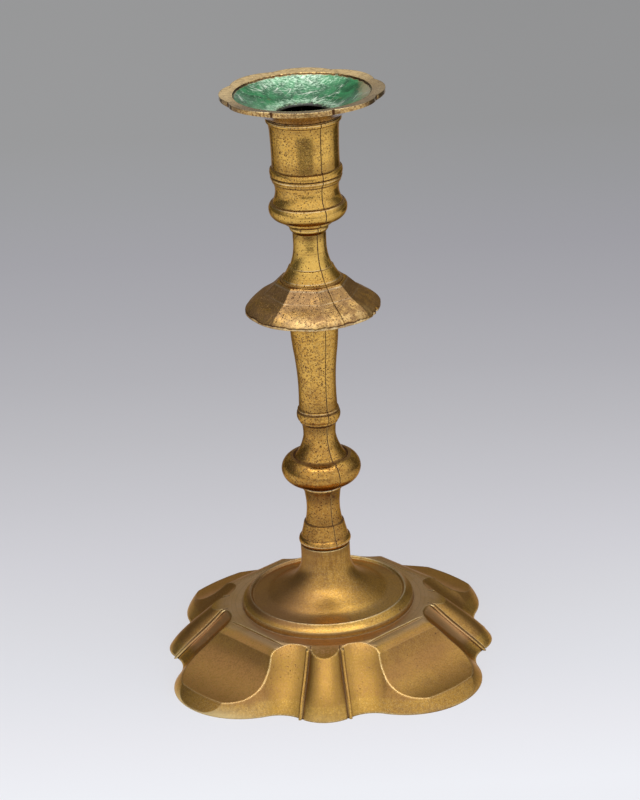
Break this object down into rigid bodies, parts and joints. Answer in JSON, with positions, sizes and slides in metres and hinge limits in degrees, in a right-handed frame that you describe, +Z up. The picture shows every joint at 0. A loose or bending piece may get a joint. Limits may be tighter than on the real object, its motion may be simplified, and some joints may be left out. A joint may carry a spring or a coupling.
{
  "type": "brass candlestick",
  "caption": "Cast candlestick with a petal-shaped hollow foot, a knopped stem with a faceted drip pan, a socket and a loose dished nozzle that lifts out.",
  "frame": {"origin": "centre of the base where it stands on the table", "axes": "+Z up along the stem; the ribs of the base lie along X and Y and its lobes half way between"},
  "size_m": [0.1128, 0.1128, 0.1998],
  "materials": {
    "base_brass": "satin cast brass, brown patina, bright worn edges",
    "stem_brass": "polished and worn cast brass with dark casting pits",
    "spelter": "dark tarnished braze line",
    "floor_brass": "dark unpolished brass",
    "nozzle_brass": "worn brass rim, dish coated with glossy green verdigris and old wax"
  },
  "bodies": {
    "stick": {"petal_base": "base_brass", "stem_half_left": "stem_brass", "stem_half_right": "stem_brass", "braze_seam_front": "spelter", "braze_seam_back": "spelter", "socket_floor": "floor_brass"},
    "nozzle_body": {"nozzle": "nozzle_brass"}
  },
  "joints": [
    {"name": "nozzle_lift", "type": "slide", "parent": "stick", "child": "nozzle_body", "axis": [0, 0, 1], "range_m": [0, 0.03]}
  ]
}
